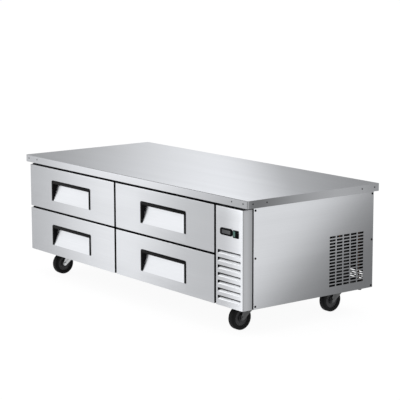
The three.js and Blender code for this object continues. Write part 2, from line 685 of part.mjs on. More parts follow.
// Telescopic slides: a fixed channel on the rack, a middle channel in it and the carriage's bar in that
const slide = { sheet: 2, halfHeight: 22, webGap: 1, lip: 9, barWidth: 10, fromOpeningTop: 24 };
const rackFront = { behindFrame: 2, width: 25 };
const rackRearGap = 12;
const rackY = [faceFrameBackY + rackFront.behindFrame, evaporatorY[0] - rackRearGap];
const middleHalfHeight = slide.halfHeight - slide.sheet - seat;
const barHalfHeight = middleHalfHeight - slide.sheet - seat;
const middleWeb = seat + slide.sheet + slide.webGap;
const barOuter = middleWeb + slide.sheet + slide.webGap;

// A channel open towards the drawer, seen along Y: side is -1 for the bay's left wall and 1 for its right
function channel(side, wallX, outer, halfHeight, lip, z) {
  const at = (inset) => wallX - side * inset;
  const web = outer + slide.sheet;
  const tip = web + lip;
  const inner = halfHeight - slide.sheet;
  const outline = [
    [at(outer), z - halfHeight],
    [at(tip), z - halfHeight],
    [at(tip), z - inner],
    [at(web), z - inner],
    [at(web), z + inner],
    [at(tip), z + inner],
    [at(tip), z + halfHeight],
    [at(outer), z + halfHeight],
  ];
  return side < 0 ? outline : outline.reverse();
}

// Racks: one welded cage in each bay, of uprights, ties and the four fixed channels
function rack(columnX) {
  const ends = [[rackY[0], rackY[0] + rackFront.width], [rackY[1] - rackFront.width, rackY[1]]];
  const wall = (side) => columnX + (side * openingWidth) / 2;
  const rackZ = [cavityFloor + seat, cavityCeiling - seat];
  const uprights = [-1, 1].flatMap((side) => ends.map((y) => {
    const faces = [wall(side) - side * seat, wall(side) - side * (seat + slide.sheet)];
    return block(side < 0 ? faces : faces.reverse(), y, rackZ);
  }));
  const tieX = [wall(-1) + seat, wall(1) - seat];
  const ties = ends.flatMap((y) => [
    block(tieX, y, [rackZ[0], rackZ[0] + slide.sheet]),
    block(tieX, y, [rackZ[1] - slide.sheet, rackZ[1]]),
  ]);
  const channels = drawers.filter((drawer) => drawer.x === columnX).flatMap((drawer) => {
    const z = drawer.z + drawer.height - openingEndOverlap - slide.fromOpeningTop;
    return [-1, 1].map((side) => alongY(
      channel(side, wall(side), seat, slide.halfHeight, slide.lip, z),
      rackY,
    ));
  });
  return joined([...uprights, ...ties, ...channels]);
}
addPiece(chefBase, "left_drawer_rack", rack(leftColumnX), zincPlate);
addPiece(chefBase, "right_drawer_rack", rack(rightColumnX), zincPlate);

// Drawer front: a folded sheet shell with a raised plug behind and the pull's pocket in its face
const frontSheet = 1.5;
const plugDepth = 12;
const plugGap = 5;
const fillHole = { radius: 8, sides: 12, inset: 60 };
const pull = {
  bottom: 52, width: 356, height: 106, lap: 4, sideBand: 13, topBand: 17.5, proud: 1.5,
  depth: 30, rampHeight: 96, ceiling: 3, bandSheet: 3,
};
const pocketHalf = pull.width / 2 - pull.lap;
const pocketTop = pull.bottom + pull.height - pull.lap;

// The pocket's outline in (y, z): a ramp that rises to the back, then an upright back and a flat top
function pocketOutline(front, grow) {
  const slope = pull.depth / pull.rampHeight;
  const low = pull.bottom - grow;
  return [
    [front, low],
    [faceY, low],
    [faceY + pull.depth + grow, low + pull.rampHeight + grow / slope],
    [faceY + pull.depth + grow, pocketTop + grow],
    [front, pocketTop + grow],
  ];
}
function drawerFront(height) {
  const halfWidth = drawerWidth / 2;
  const plugHalf = openingWidth / 2 - plugGap;
  const plugZ = [openingEndOverlap + plugGap, height - openingEndOverlap - plugGap];
  const shell = joined([
    block([-halfWidth, halfWidth], [faceY, frontBackY], [0, height]),
    block([-plugHalf, plugHalf], [frontBackY - overrun, frontBackY + plugDepth], plugZ),
  ]);
  const hollow = joined([
    block(
      [frontSheet - halfWidth, halfWidth - frontSheet],
      [faceY + frontSheet, frontBackY - frontSheet],
      [frontSheet, height - frontSheet],
    ),
    block(
      [frontSheet - plugHalf, plugHalf - frontSheet],
      [faceY + frontSheet, frontBackY + plugDepth - frontSheet],
      [plugZ[0] + frontSheet, plugZ[1] - frontSheet],
    ),
  ]);
  const wallHalf = pocketHalf + frontSheet;
  const pocketWall = alongX(pocketOutline(faceY, frontSheet), [-wallHalf, wallHalf]);
  const pocket = alongX(pocketOutline(faceY - overrun, 0), [-pocketHalf, pocketHalf]);
  const hole = rodZ(fillHole.radius, [-overrun, frontSheet + overrun], halfWidth - fillHole.inset,
    faceY + drawerFrontDepth / 2, fillHole.sides);
  return cut(shell, [hollow.subtract(pocketWall), pocket, hole]);
}

// Pull bezel: a moulded frame on the pocket's top and sides, with a cheek at each end and a ceiling
function pullBezel() {
  const halfWidth = pull.width / 2;
  const top = pull.bottom + pull.height;
  const cheekInner = halfWidth - pull.sideBand;
  const cheekOuter = pocketHalf - seat;
  const back = faceY + pull.depth - seat;
  const rampClear = seat * 2;
  const slope = pull.depth / pull.rampHeight;
  const rim = alongY(
    [
      [-halfWidth, pull.bottom],
      [-cheekInner, pull.bottom],
      [-cheekInner, top - pull.topBand],
      [cheekInner, top - pull.topBand],
      [cheekInner, pull.bottom],
      [halfWidth, pull.bottom],
      [halfWidth, top],
      [-halfWidth, top],
    ],
    [faceY - pull.proud, faceY - seat],
  );
  const band = block(
    [-cheekOuter, cheekOuter],
    [faceY - pull.proud, faceY - pull.proud + pull.bandSheet],
    [top - pull.topBand, pocketTop - seat],
  );
  const ceiling = block(
    [-cheekOuter, cheekOuter],
    [faceY - pull.proud, back],
    [pocketTop - seat - pull.ceiling, pocketTop - seat],
  );
  const cheekOutline = [
    [faceY - pull.proud, pull.bottom + rampClear / slope],
    [faceY, pull.bottom + rampClear / slope],
    [back, pull.bottom + (pull.depth - seat + rampClear) / slope],
    [back, pocketTop - seat],
    [faceY - pull.proud, pocketTop - seat],
  ];
  const cheeks = [[-cheekOuter, -cheekInner], [cheekInner, cheekOuter]].map((x) => alongX(cheekOutline, x));
  return joined([rim, band, ceiling, ...cheeks]);
}

// Gasket: a magnetic strip round the back of the drawer front
const gasket = { inset: 8, width: 17 };
function drawerGasket(height) {
  const outer = drawerWidth / 2 - gasket.inset;
  const y = [frontBackY + seat, cabinetFrontY - seat];
  return cut(block([-outer, outer], y, [gasket.inset, height - gasket.inset]), [
    block(
      [gasket.width - outer, outer - gasket.width],
      [y[0] - overrun, y[1] + overrun],
      [gasket.inset + gasket.width, height - gasket.inset - gasket.width],
    ),
  ]);
}

// Carriage: the frame behind the front that two pans hang in, on the bars that run in the middle channels
const carriage = {
  rearShort: 29, ledge: 12, ledgeSheet: 2, ledgeRise: 10, crossBar: 15, crossHalf: 10, divider: 20,
};
const carriageY = [frontBackY + plugDepth + seat, rackY[1] - carriage.rearShort];
function drawerCarriage(height) {
  const z = height - openingEndOverlap - slide.fromOpeningTop;
  const barX = openingWidth / 2 - barOuter;
  const ledgeX = barX - slide.barWidth;
  const barZ = [z - barHalfHeight, z + barHalfHeight];
  const ledgeZ = [z + carriage.ledgeRise, z + carriage.ledgeRise + carriage.ledgeSheet];
  const between = (side, near, far) => (side < 0 ? [-far, -near] : [near, far]);
  const sides = [-1, 1].flatMap((side) => [
    block(between(side, ledgeX, barX), carriageY, barZ),
    block(between(side, ledgeX - carriage.ledge, ledgeX + overrun), carriageY, ledgeZ),
  ]);
  const crossX = [-ledgeX - overrun, ledgeX + overrun];
  const crossZ = [z - carriage.crossHalf, z + carriage.crossHalf];
  const crossBars = [
    [carriageY[0], carriageY[0] + carriage.crossBar],
    [carriageY[1] - carriage.crossBar, carriageY[1]],
  ].map((y) => block(crossX, y, crossZ));
  const divider = block([-carriage.divider / 2, carriage.divider / 2], carriageY, [z, ledgeZ[1]]);
  return joined([...sides, ...crossBars, divider]);
}

// Middle channels, one on each side of a drawer
function middleChannel(side, height) {
  const z = height - openingEndOverlap - slide.fromOpeningTop;
  const wallX = (side * openingWidth) / 2;
  return alongY(channel(side, wallX, middleWeb, middleHalfHeight, slide.lip, z), rackY);
}

for (const drawer of drawers) {
  const group = new THREE.Group();
  group.position.set(drawer.x, 0, drawer.z);
  addPiece(group, drawer.name + "_drawer_front", drawerFront(drawer.height), brushedSteel);
  addPiece(group, drawer.name + "_pull_bezel", pullBezel(), blackPlastic);
  addPiece(group, drawer.name + "_gasket", drawerGasket(drawer.height), blackRubber);
  addPiece(group, drawer.name + "_carriage", drawerCarriage(drawer.height), innerSteel);
  addPiece(group, drawer.name + "_middle_slide_l", middleChannel(-1, drawer.height), zincPlate);
  addPiece(group, drawer.name + "_middle_slide_r", middleChannel(1, drawer.height), zincPlate);
  chefBase.add(group);
}

// Casters: a bolted plate with its bearing race, a swivelling fork with its axle bolt, and a rubber wheel
const caster = {
  endInset: 180, edgeInset: 90, trail: 45, crownGap: 1.6,
  plateWidth: 100, plateDepth: 90, plateSheet: 3, plateCorner: 8,
  raceRadius: 31, raceLowRadius: 27, raceHeight: 5, sides: 18,
  crownRadius: 34, forkSheet: 3, legGap: 2, legFront: 30, legBack: 20, legShoulder: 20, bossRadius: 11,
  axleRadius: 5, axleHeadRadius: 9, axleHeadDepth: 5, headSides: 6, axleSides: 12,
};
const wheel = { width: 32, hubWidth: 34, hubRadius: 17, rimRadius: 37, webInset: 5, shoulder: 5, sides: 28 };
const forkTop = groundClearance - seat - caster.plateSheet - caster.raceHeight - seat;
const crownLow = forkTop - caster.forkSheet;
const wheelRadius = (crownLow - caster.crownGap) / 2;
const legInner = wheel.hubWidth / 2 + caster.legGap;
const legOuter = legInner + caster.forkSheet;
const brake = {
  pivotBack: 1.8, pivotDrop: 13.5, bossRadius: 5, pinRadius: 3, pinSides: 10,
  shoeForward: 1, shoeDrop: 11.5, padFront: 8, padBack: 18, padLow: 14, padSheet: 3,
  neckBack: 9, neckDrop: 10,
};
const brakeY = brake.pivotBack;
const brakeZ = forkTop - brake.pivotDrop;

const casterPlate = joined([
  alongZ(roundedRectangle(0, 0, caster.plateWidth, caster.plateDepth, caster.plateCorner),
    [groundClearance - seat - caster.plateSheet, groundClearance - seat]),
  turned(
    [
      [0, forkTop + seat],
      [caster.raceLowRadius, forkTop + seat],
      [caster.raceRadius, forkTop + seat + caster.raceHeight / 2],
      [caster.raceRadius, groundClearance - seat - caster.plateSheet / 2],
      [0, groundClearance - seat - caster.plateSheet / 2],
    ],
    caster.sides,
  ),
]);

// One leg of the fork in (y, z): wide at the crown, raked forward and rounded about the axle
function legOutline() {
  const leg = new THREE.Shape();
  leg.moveTo(-caster.legFront, forkTop);
  leg.lineTo(-caster.trail - caster.bossRadius, wheelRadius);
  leg.absarc(-caster.trail, wheelRadius, caster.bossRadius, Math.PI, 1.75 * Math.PI);
  leg.lineTo(caster.legBack, crownLow - caster.legShoulder);
  leg.lineTo(caster.legBack, forkTop);
  return leg;
}
function casterFork(braked) {
  const axleReach = legOuter + caster.axleHeadDepth;
  const axleX = [-legOuter - seat, legOuter + seat];
  const legs = [[-legOuter, -legInner], [legInner, legOuter]].map((x) => alongX(legOutline(), x));
  const holeX = [-legOuter - overrun, legOuter + overrun];
  const pinHole = rodX(brake.pinRadius + seat, holeX, brakeY, brakeZ, brake.pinSides);
  const heads = [[-axleReach, -legOuter + seat], [legOuter - seat, axleReach]].map((x) => rodX(
    caster.axleHeadRadius, x, -caster.trail, wheelRadius, caster.headSides));
  const frame = joined([rodZ(caster.crownRadius, [crownLow, forkTop], 0, 0, caster.sides), ...legs]);
  return joined([
    braked ? frame.subtract(pinHole) : frame,
    rodX(caster.axleRadius, axleX, -caster.trail, wheelRadius, caster.axleSides),
    ...heads,
  ]);
}

// The wheel's section: hub, web and tyre, bored for the axle and turned about the axle's line
function casterWheel() {
  const [tread, hub] = [wheel.width / 2, wheel.hubWidth / 2];
  const web = tread - wheel.webInset;
  const bore = caster.axleRadius + seat;
  const half = [
    [bore, hub],
    [wheel.hubRadius, hub],
    [wheel.hubRadius, web],
    [wheel.rimRadius, web],
    [wheel.rimRadius, tread],
    [wheelRadius - wheel.shoulder, tread],
    [wheelRadius, tread - wheel.shoulder],
  ];
  const lower = half.map(([r, x]) => [r, -x]);
  const profile = [...lower, ...half.reverse(), lower[0]];
  const points = profile.map(([r, x]) => new THREE.Vector2(r, x));
  const geometry = new THREE.LatheGeometry(points, wheel.sides).rotateZ(-Math.PI / 2);
  return solidOf(geometry.translate(0, -caster.trail, wheelRadius));
}

// Brake: a bent pedal on a pin through the fork's legs; pressing its pad turns the shoe against the tyre
function brakePedal() {
  const at = (back, up) => [brakeY + back, brakeZ + up];
  const pedal = alongX(
    [
      at(-brake.bossRadius, 0),
      at(-brake.shoeForward, -brake.shoeDrop),
      at(brake.padFront, -brake.padLow - brake.padSheet),
      at(brake.padBack, -brake.padLow - brake.padSheet),
      at(brake.padBack, -brake.padLow),
      at(brake.neckBack, -brake.neckDrop),
      at(brake.bossRadius, 0),
      at(0, brake.bossRadius),
    ],
    [-legInner + seat, legInner - seat],
  );
  const pinX = [-legOuter - seat, legOuter + seat];
  return pedal.add(rodX(brake.pinRadius, pinX, brakeY, brakeZ, brake.pinSides));
}

const frontSwivelY = cabinetFrontY + caster.edgeInset;
const rearSwivelY = cabinetRearY - caster.edgeInset;
const endSwivelX = worktopWidth / 2 - caster.endInset;
const corners = [
  { name: "front_left", x: -endSwivelX, y: frontSwivelY, braked: true },
  { name: "front_right", x: endSwivelX, y: frontSwivelY, braked: true },
  { name: "rear_left", x: -endSwivelX, y: rearSwivelY, braked: false },
  { name: "rear_right", x: endSwivelX, y: rearSwivelY, braked: false },
];
for (const corner of corners) {
  const group = new THREE.Group();
  group.position.set(corner.x, corner.y, 0);
  addPiece(group, corner.name + "_caster_plate", casterPlate, zincPlate);
  addPiece(group, corner.name + "_caster_fork", casterFork(corner.braked), zincPlate);
  addPiece(group, corner.name + "_caster_wheel", casterWheel(), blackRubber);
  if (corner.braked) addPiece(group, corner.name + "_brake_pedal", brakePedal(), blackPaint);
  chefBase.add(group);
}

export default chefBase;
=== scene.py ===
import math

import bmesh
import bpy
from mathutils import Matrix, Vector


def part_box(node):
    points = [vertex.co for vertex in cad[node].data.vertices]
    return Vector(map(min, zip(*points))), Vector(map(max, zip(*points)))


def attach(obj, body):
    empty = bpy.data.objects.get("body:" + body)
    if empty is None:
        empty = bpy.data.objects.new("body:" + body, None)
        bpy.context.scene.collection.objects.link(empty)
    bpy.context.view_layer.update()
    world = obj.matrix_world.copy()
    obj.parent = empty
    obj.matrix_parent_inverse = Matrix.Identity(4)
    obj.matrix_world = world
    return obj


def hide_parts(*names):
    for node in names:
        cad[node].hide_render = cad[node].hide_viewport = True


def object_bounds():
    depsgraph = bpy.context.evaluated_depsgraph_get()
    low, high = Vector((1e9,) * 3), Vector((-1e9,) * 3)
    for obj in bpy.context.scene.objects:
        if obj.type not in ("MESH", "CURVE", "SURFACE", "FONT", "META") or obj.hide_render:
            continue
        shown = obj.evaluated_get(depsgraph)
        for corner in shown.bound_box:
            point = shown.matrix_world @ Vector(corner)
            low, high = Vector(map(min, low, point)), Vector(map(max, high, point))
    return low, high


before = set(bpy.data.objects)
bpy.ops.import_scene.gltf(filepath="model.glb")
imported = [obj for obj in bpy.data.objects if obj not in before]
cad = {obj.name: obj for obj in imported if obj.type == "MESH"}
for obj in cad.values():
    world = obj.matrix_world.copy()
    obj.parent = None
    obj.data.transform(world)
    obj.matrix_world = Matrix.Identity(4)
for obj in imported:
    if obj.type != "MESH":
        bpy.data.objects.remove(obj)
cad_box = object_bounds()
scene = bpy.context.scene

# Camera
# A long lens stands off the right front corner, a little above the worktop. Its place and turn
# were fitted to the corners of the worktop, the drawers and the side, and it has no shift.
camera_place = Vector((5.8332, -4.4404, 1.7358))
camera_turn = math.radians(52.39)
camera_dip = math.radians(9.87)
camera_roll = math.radians(-0.153)
film_width = 36
focal_length = 135.04
far_clip = 80
lens = bpy.data.cameras.new("photo_camera")
lens.sensor_width = film_width
lens.lens = focal_length
lens.clip_end = far_clip
camera = bpy.data.objects.new("photo_camera", lens)
camera.matrix_world = (
    Matrix.Translation(camera_place)
    @ Matrix.Rotation(camera_turn, 4, "Z")
    @ Matrix.Rotation(math.pi / 2 - camera_dip, 4, "X")
    @ Matrix.Rotation(camera_roll, 4, "Z")
)
scene.collection.objects.link(camera)
scene.camera = camera
scene.view_settings.view_transform = "Standard"


# Studio
# A white sweep without an edge: to the lens, and in the metal, floor and background are the same
# white, and the floor still takes the soft shadow between the casters.
floor_half_width = 45
floor_white_share = 0.93
floor_paint = (0.10, 0.10, 0.101, 1)
pure_white = (1, 1, 1, 1)
sky_for_surfaces = 0.8
key_place = (-3.4, -3.0, 2.6)
key_width = 2.2
key_watts = 34
top_place = (0.4, 0.2, 4.0)
top_width = 3.2
top_watts = 36


def node(tree, kind, inputs=None, **settings):
    """A shader node with its settings and inputs; an input is a value or another node's output."""
    made = tree.nodes.new(kind)
    for key, value in settings.items():
        setattr(made, key, value)
    for key, value in (inputs or {}).items():
        if isinstance(value, bpy.types.NodeSocket):
            tree.links.new(value, made.inputs[key])
        else:
            made.inputs[key].default_value = value
    return made


def seen_directly(tree):
    """1 for the camera's rays and for what metal and glass show, 0 for light on surfaces."""
    path = node(tree, "ShaderNodeLightPath")
    first = node(tree, "ShaderNodeMath", {
        0: path.outputs["Is Camera Ray"], 1: path.outputs["Is Glossy Ray"],
    }, operation="MAXIMUM")
    second = node(tree, "ShaderNodeMath", {
        0: first.outputs[0], 1: path.outputs["Is Transmission Ray"],
    }, operation="MAXIMUM")
    return second.outputs[0]


world = bpy.data.worlds.new("white_studio")
scene.world = world
world.use_nodes = True
sky = world.node_tree
sky_level = node(sky, "ShaderNodeMapRange", {
    "Value": seen_directly(sky), "To Min": sky_for_surfaces, "To Max": 1,
})
sky.nodes["Background"].inputs["Color"].default_value = pure_white
sky.links.new(sky_level.outputs["Result"], sky.nodes["Background"].inputs["Strength"])

floor_finish = bpy.data.materials.new("white_floor")
floor_finish.use_nodes = True
tree = floor_finish.node_tree
tree.nodes.remove(tree.nodes["Principled BSDF"])
paint = node(tree, "ShaderNodeBsdfDiffuse", {"Color": floor_paint})
white = node(tree, "ShaderNodeEmission", {"Color": pure_white})
white_level = node(tree, "ShaderNodeMapRange", {
    "Value": seen_directly(tree), "To Max": floor_white_share,
})
tree.links.new(white_level.outputs["Result"], white.inputs["Strength"])
both = node(tree, "ShaderNodeAddShader", {0: paint.outputs[0], 1: white.outputs[0]})
tree.links.new(both.outputs[0], tree.nodes["Material Output"].inputs["Surface"])
bm = bmesh.new()
bmesh.ops.create_grid(bm, x_segments=2, y_segments=2, size=floor_half_width)
floor_mesh = bpy.data.meshes.new("floor")
bm.to_mesh(floor_mesh)
bm.free()
floor_mesh.materials.append(floor_finish)
floor = bpy.data.objects.new("floor", floor_mesh)
scene.collection.objects.link(floor)


def softbox(name, place, width, watts):
    """A square area lamp that looks at the middle of the object."""
    lamp = bpy.data.lights.new(name, "AREA")
    lamp.size = width
    lamp.energy = watts
    stand = bpy.data.objects.new(name, lamp)
    aim = (cad_box[0] + cad_box[1]) / 2 - Vector(place)
    stand.matrix_world = Matrix.Translation(place) @ aim.to_track_quat("-Z", "Y").to_matrix().to_4x4()
    scene.collection.objects.link(stand)


softbox("key_softbox", key_place, key_width, key_watts)
softbox("top_softbox", top_place, top_width, top_watts)


# Base pan
# The galvanised floor sheet that everything is built on, turned up at the right as the partition
# to the machine compartment. It is sheared and folded, and the caster plates are bolted under it.
noise_detail = 4
bump_strength = 0.6


def dress(name, material):
    """Gives a CAD node its finish."""
    slot = cad[name].material_slots[0]
    slot.link = "OBJECT"
    slot.material = material


def finish(name, colours, roughness, grain, metallic=0.0, relief=0.0, coat=0.0, mirror=0.5,
           pattern="NOISE"):
    """A finish of two colours mixed by a grain, which is its fineness along each axis, with uneven
    gloss and a relief in metres. The mirror is the share of the studio that a plastic or a paint
    reflects."""
    material = bpy.data.materials.new(name)
    material.use_nodes = True
    tree = material.node_tree
    shader = tree.nodes["Principled BSDF"]
    place = node(tree, "ShaderNodeTexCoord").outputs["Object"]
    scaled = node(tree, "ShaderNodeMapping", {"Vector": place, "Scale": grain}).outputs["Vector"]
    if pattern == "NOISE":
        height = node(tree, "ShaderNodeTexNoise", {
            "Vector": scaled, "Scale": 1, "Detail": noise_detail,
        }).outputs["Fac"]
    else:
        cells = node(tree, "ShaderNodeTexVoronoi", {"Vector": scaled, "Scale": 1})
        height = node(tree, "ShaderNodeSeparateColor", {"Color": cells.outputs["Color"]}).outputs[0]
    colour = node(tree, "ShaderNodeMix", {"Factor": height}, data_type="RGBA")
    colour.inputs["A"].default_value = (*colours[0], 1)
    colour.inputs["B"].default_value = (*colours[1], 1)
    gloss = node(tree, "ShaderNodeMapRange", {
        "Value": height, "To Min": roughness[0], "To Max": roughness[1],
    })
    tree.links.new(colour.outputs["Result"], shader.inputs["Base Color"])
    tree.links.new(gloss.outputs["Result"], shader.inputs["Roughness"])
    shader.inputs["Metallic"].default_value = metallic
    shader.inputs["Coat Weight"].default_value = coat
    shader.inputs["Specular IOR Level"].default_value = mirror
    if relief:
        bump = node(tree, "ShaderNodeBump", {
            "Height": height, "Strength": bump_strength, "Distance": relief,
        })
        tree.links.new(bump.outputs["Normal"], shader.inputs["Normal"])
    return material


galvanised = finish("galvanised_sheet", colours=((0.22, 0.225, 0.235), (0.34, 0.345, 0.355)),
                    roughness=(0.36, 0.54), grain=(55, 55, 55), metallic=1, pattern="CELLS")
dress("base_pan", galvanised)


# Side panels
# Flat skins of brushed stainless sheet, screwed to the frame at their front and rear edges. The
# right one has the slotted grille of the machine compartment punched through it.
X, Y, Z = Vector((1, 0, 0)), Vector((0, 1, 0)), Vector((0, 0, 1))
steel_tint = Vector((0.982, 1.0, 1.034))
steel_roughness = (0.28, 0.4)
shallow_gamma = 0.5
scratches_along = 3
scratches_across = 900
scratch_detail = 3
scratch_swing = 0.07
scratch_strength = 0.25
scratch_relief = 0.0001
clouds_along = 0.9
clouds_across = 14
cloud_detail = 2
cloud_swing = 0.045
# The side skins' shades are painted reflections, darker towards the lower rear, and much darker on the
# right one.
side_fall = (0, 1, -1.23)
right_side_painted_reflection = (
    (-1.00, 0.865), (-0.75, 0.85), (-0.60, 0.81), (-0.45, 0.715), (-0.30, 0.60), (-0.10, 0.495),
    (0.10, 0.45), (0.30, 0.45),
)
left_side_painted_reflection = (
    (-1.00, 0.85), (-0.70, 0.82), (-0.45, 0.74), (-0.25, 0.70), (0.0, 0.68), (0.30, 0.70),
)
side_screw_columns = ((-0.320, (0.568, 0.354, 0.137)), (0.385, (0.5695, 0.3525, 0.133)))
side_screw_radius = 0.0055
side_screw_proud = 0.0014
head_sides = 16
head_sunk = 0.001
head_taper = 0.86
head_recess_share = 0.4
screw_black = finish("blackened_screws", colours=((0.003, 0.003, 0.0035), (0.007, 0.007, 0.0075)),
                     roughness=(0.5, 0.65), grain=(300, 300, 300), mirror=0.1)


def linear(shade):
    """The light that shows as this brightness, by the curve of a standard screen."""
    return ((shade + 0.055) / 1.055) ** 2.4


def brushed_steel(name, fall, shades, brushed="X"):
    """Brushed stainless sheet. Its shades (place in metres, brightness) are a painted reflection that
    changes along one direction, and scratches and clouds run along the axis it is brushed in.
    Its edge tint keeps the sheet from turning white where it is seen at a shallow angle."""
    material = bpy.data.materials.new(name)
    material.use_nodes = True
    tree = material.node_tree
    shader = tree.nodes["Principled BSDF"]
    place = node(tree, "ShaderNodeTexCoord").outputs["Object"]
    down_fall = node(tree, "ShaderNodeVectorMath", {0: place, 1: fall}, operation="DOT_PRODUCT")
    first, last = shades[0][0], shades[-1][0]
    share = node(tree, "ShaderNodeMapRange", {
        "Value": down_fall.outputs["Value"], "From Min": first, "From Max": last,
    })
    ramp = node(tree, "ShaderNodeValToRGB", {"Fac": share.outputs["Result"]})
    band = ramp.color_ramp
    band.interpolation = "B_SPLINE"
    for _ in shades[2:]:
        band.elements.new(0.5)
    for stop, (spot, shade) in zip(band.elements, shades):
        stop.position = (spot - first) / (last - first)
        stop.color = (*(linear(shade) * steel_tint), 1)

    def streaks(along, across, detail):
        """Noise drawn out along the axis that the sheet is brushed in."""
        scale = [across] * 3
        scale["XYZ".index(brushed)] = along
        scaled = node(tree, "ShaderNodeMapping", {"Vector": place, "Scale": scale})
        return node(tree, "ShaderNodeTexNoise", {
            "Vector": scaled.outputs["Vector"], "Scale": 1, "Detail": detail,
        }).outputs["Fac"]

    fine = streaks(scratches_along, scratches_across, scratch_detail)
    broad = streaks(clouds_along, clouds_across, cloud_detail)
    scratches = node(tree, "ShaderNodeMapRange", {
        "Value": fine, "To Min": 1 - scratch_swing, "To Max": 1 + scratch_swing,
    })
    clouds = node(tree, "ShaderNodeMapRange", {
        "Value": broad, "To Min": 1 - cloud_swing, "To Max": 1 + cloud_swing,
    })
    both = node(tree, "ShaderNodeMath", {
        0: scratches.outputs["Result"], 1: clouds.outputs["Result"],
    }, operation="MULTIPLY")
    colour = node(tree, "ShaderNodeVectorMath", {
        0: ramp.outputs["Color"], "Scale": both.outputs[0],
    }, operation="SCALE")
    gloss = node(tree, "ShaderNodeMapRange", {
        "Value": fine, "To Min": steel_roughness[0], "To Max": steel_roughness[1],
    })
    bump = node(tree, "ShaderNodeBump", {
        "Height": fine, "Strength": scratch_strength, "Distance": scratch_relief,
    })
    shallow = node(tree, "ShaderNodeGamma", {
        "Color": colour.outputs["Vector"], "Gamma": shallow_gamma,
    })
    tree.links.new(colour.outputs["Vector"], shader.inputs["Base Color"])
    tree.links.new(shallow.outputs["Color"], shader.inputs["Specular Tint"])
    tree.links.new(gloss.outputs["Result"], shader.inputs["Roughness"])
    tree.links.new(bump.outputs["Normal"], shader.inputs["Normal"])
    shader.inputs["Metallic"].default_value = 1
    return material


def put(bm, name, body, materials, stands_for=(), smooth_under=35):
    """Writes a bmesh as a piece that rides on a body, smooth where it turns less than the angle."""
    mesh = bpy.data.meshes.new(name)
    for face in bm.faces:
        face.smooth = True
    bm.to_mesh(mesh)
    bm.free()
    mesh.set_sharp_from_angle(angle=math.radians(smooth_under))
    for material in materials:
        mesh.materials.append(material)
    piece = bpy.data.objects.new(name, mesh)
    scene.collection.objects.link(piece)
    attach(piece, body)
    if stands_for:
        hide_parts(*stands_for)
    return piece


def screws(name, material, places, facing, radius, proud):
    """Pan heads with a driver recess, set in the cabinet on a face that looks along facing."""
    bm = bmesh.new()
    turn = facing.to_track_quat("Z", "Y").to_matrix().to_4x4()
    for place in places:
        seat = Matrix.Translation(Vector(place) + facing * (proud - head_sunk) / 2) @ turn
        head = bmesh.ops.create_cone(bm, cap_ends=True, segments=head_sides, radius1=radius,
                                     radius2=radius * head_taper, depth=proud + head_sunk, matrix=seat)
        faces = {f for v in head["verts"] for f in v.link_faces}
        top = max(faces, key=lambda f: f.calc_center_median().dot(facing))
        bmesh.ops.inset_individual(bm, faces=[top], thickness=radius * head_recess_share,
                                   depth=-proud / 2)
    put(bm, name, "cabinet", [material])


dress("left_side_panel", brushed_steel("left_side_steel", side_fall, left_side_painted_reflection, brushed="Y"))
dress("right_side_panel", brushed_steel("right_side_steel", side_fall, right_side_painted_reflection, brushed="Y"))
side_screw_spots = [(y, z) for y, rows in side_screw_columns for z in rows]
for side, facing in (("left", -X), ("right", X)):
    low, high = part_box(side + "_side_panel")
    face_x = low.x if side == "left" else high.x
    screws(side + "_side_screws", screw_black, [(face_x, y, z) for y, z in side_screw_spots], facing,
           side_screw_radius, side_screw_proud)


# Rear panel
# A galvanised sheet between the side skins, vented behind the machine compartment and held by rows
# of plated screws along its top and bottom. The cord's plastic gland sits in the pan below.
rear_screw_inset = 0.012
rear_screw_count = 8
rear_screw_radius = 0.004
rear_screw_proud = 0.0012
plated = finish("zinc_plating", colours=((0.50, 0.51, 0.50), (0.66, 0.67, 0.65)), roughness=(0.24, 0.38),
                grain=(60, 60, 60), metallic=1)
black_moulding = finish("black_moulding", colours=((0.0015, 0.0015, 0.0018), (0.004, 0.004, 0.0044)),
                        roughness=(0.42, 0.55), grain=(1400, 1400, 1400), relief=0.00008, mirror=0.06)
dress("rear_panel", galvanised)
dress("cord_gland", black_moulding)
low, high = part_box("rear_panel")
rear_screw_pitch = (high.x - low.x - 2 * rear_screw_inset) / (rear_screw_count - 1)
rear_screw_spots = [
    (low.x + rear_screw_inset + i * rear_screw_pitch, high.y, z)
    for i in range(rear_screw_count)
    for z in (low.z + rear_screw_inset, high.z - rear_screw_inset)
]
screws("rear_screws", plated, rear_screw_spots, Y, rear_screw_radius, rear_screw_proud)


# Cold store
# The inner box is plain rolled stainless sheet, and foamed polyurethane fills the space between
# it and the outer sheets. The face frame in front is folded sheet, painted near black as painted
# shade for the gaps between the drawers.
plain_steel = finish("plain_rolled_steel", colours=((0.60, 0.61, 0.625), (0.72, 0.73, 0.745)),
                     roughness=(0.34, 0.46), grain=(5, 40, 40), metallic=1)
foam = finish("foamed_insulation", colours=((0.62, 0.53, 0.30), (0.78, 0.70, 0.45)),
              roughness=(0.85, 0.95), grain=(260, 260, 260), relief=0.0006)
# The face frame's near black is painted shade for the gaps between the drawers.
painted_shadow_frame = finish("painted_shadow_frame_sheet", colours=((0.012, 0.012, 0.013), (0.022, 0.022, 0.023)),
                    roughness=(0.5, 0.65), grain=(200, 200, 200), relief=0.00005, mirror=0.2)
dress("cabinet_liner", plain_steel)
dress("insulation", foam)
dress("face_frame", painted_shadow_frame)
